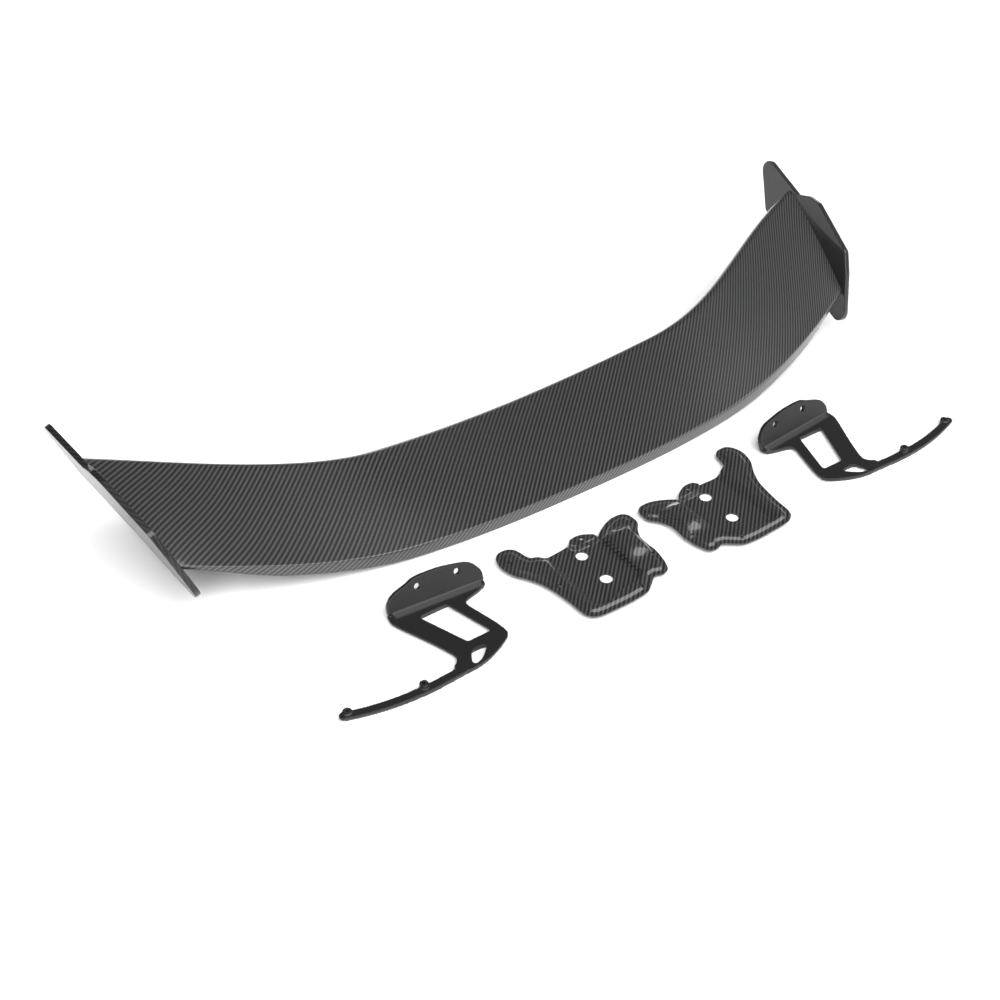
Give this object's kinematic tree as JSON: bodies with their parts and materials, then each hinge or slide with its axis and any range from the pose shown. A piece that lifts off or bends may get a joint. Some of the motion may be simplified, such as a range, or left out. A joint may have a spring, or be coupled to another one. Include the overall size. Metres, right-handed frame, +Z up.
{
  "type": "racing rear wing",
  "caption": "Carbon fibre racing rear wing kit: swept blade with canted end plates, two black cast uprights and two carbon base plates, laid out unassembled.",
  "frame": {"origin": "bottom centre of the laid-out kit's bounding box, on the surface that it lies on", "axes": "+X along the span to the right as seen from behind the blade's trailing edge, +Y from the trailing edge towards the leading edge, +Z up"},
  "size_m": [1.3082, 0.6007, 0.174],
  "materials": {
    "carbon": "gloss",
    "carbon_inner": "matte",
    "alloy": "satin",
    "cast_black": "satin",
    "steel": "satin"
  },
  "bodies": {
    "wing": {"blade_upper_skin": "carbon", "blade_lower_skin": "carbon", "spar_web": "carbon_inner", "rib_inner_left": "carbon_inner", "rib_inner_right": "carbon_inner", "rib_outer_left": "carbon_inner", "rib_outer_right": "carbon_inner", "end_rib_left": "carbon_inner", "end_rib_right": "carbon_inner", "mount_insert_left": "alloy", "mount_insert_right": "alloy", "endplate_left": "carbon", "endplate_right": "carbon", "dowel_bushes_left": "alloy", "dowel_bushes_right": "alloy", "dowels_left": "steel", "dowels_right": "steel"},
    "upright_left": {"upright_left": "cast_black", "upright_inserts_left": "steel"},
    "upright_right": {"upright_right": "cast_black", "upright_inserts_right": "steel"},
    "base_plate_left": {"base_plate_left": "carbon"},
    "base_plate_right": {"base_plate_right": "carbon"}
  },
  "joints": [
    {"name": "upright_left_lift", "type": "slide", "parent": "wing", "child": "upright_left", "axis": [0, 0, 1], "range_m": [0, 0.2]},
    {"name": "upright_right_lift", "type": "slide", "parent": "wing", "child": "upright_right", "axis": [0, 0, 1], "range_m": [0, 0.2]},
    {"name": "base_plate_left_lift", "type": "slide", "parent": "wing", "child": "base_plate_left", "axis": [0, 0, 1], "range_m": [0, 0.2]},
    {"name": "base_plate_right_lift", "type": "slide", "parent": "wing", "child": "base_plate_right", "axis": [0, 0, 1], "range_m": [0, 0.2]}
  ]
}
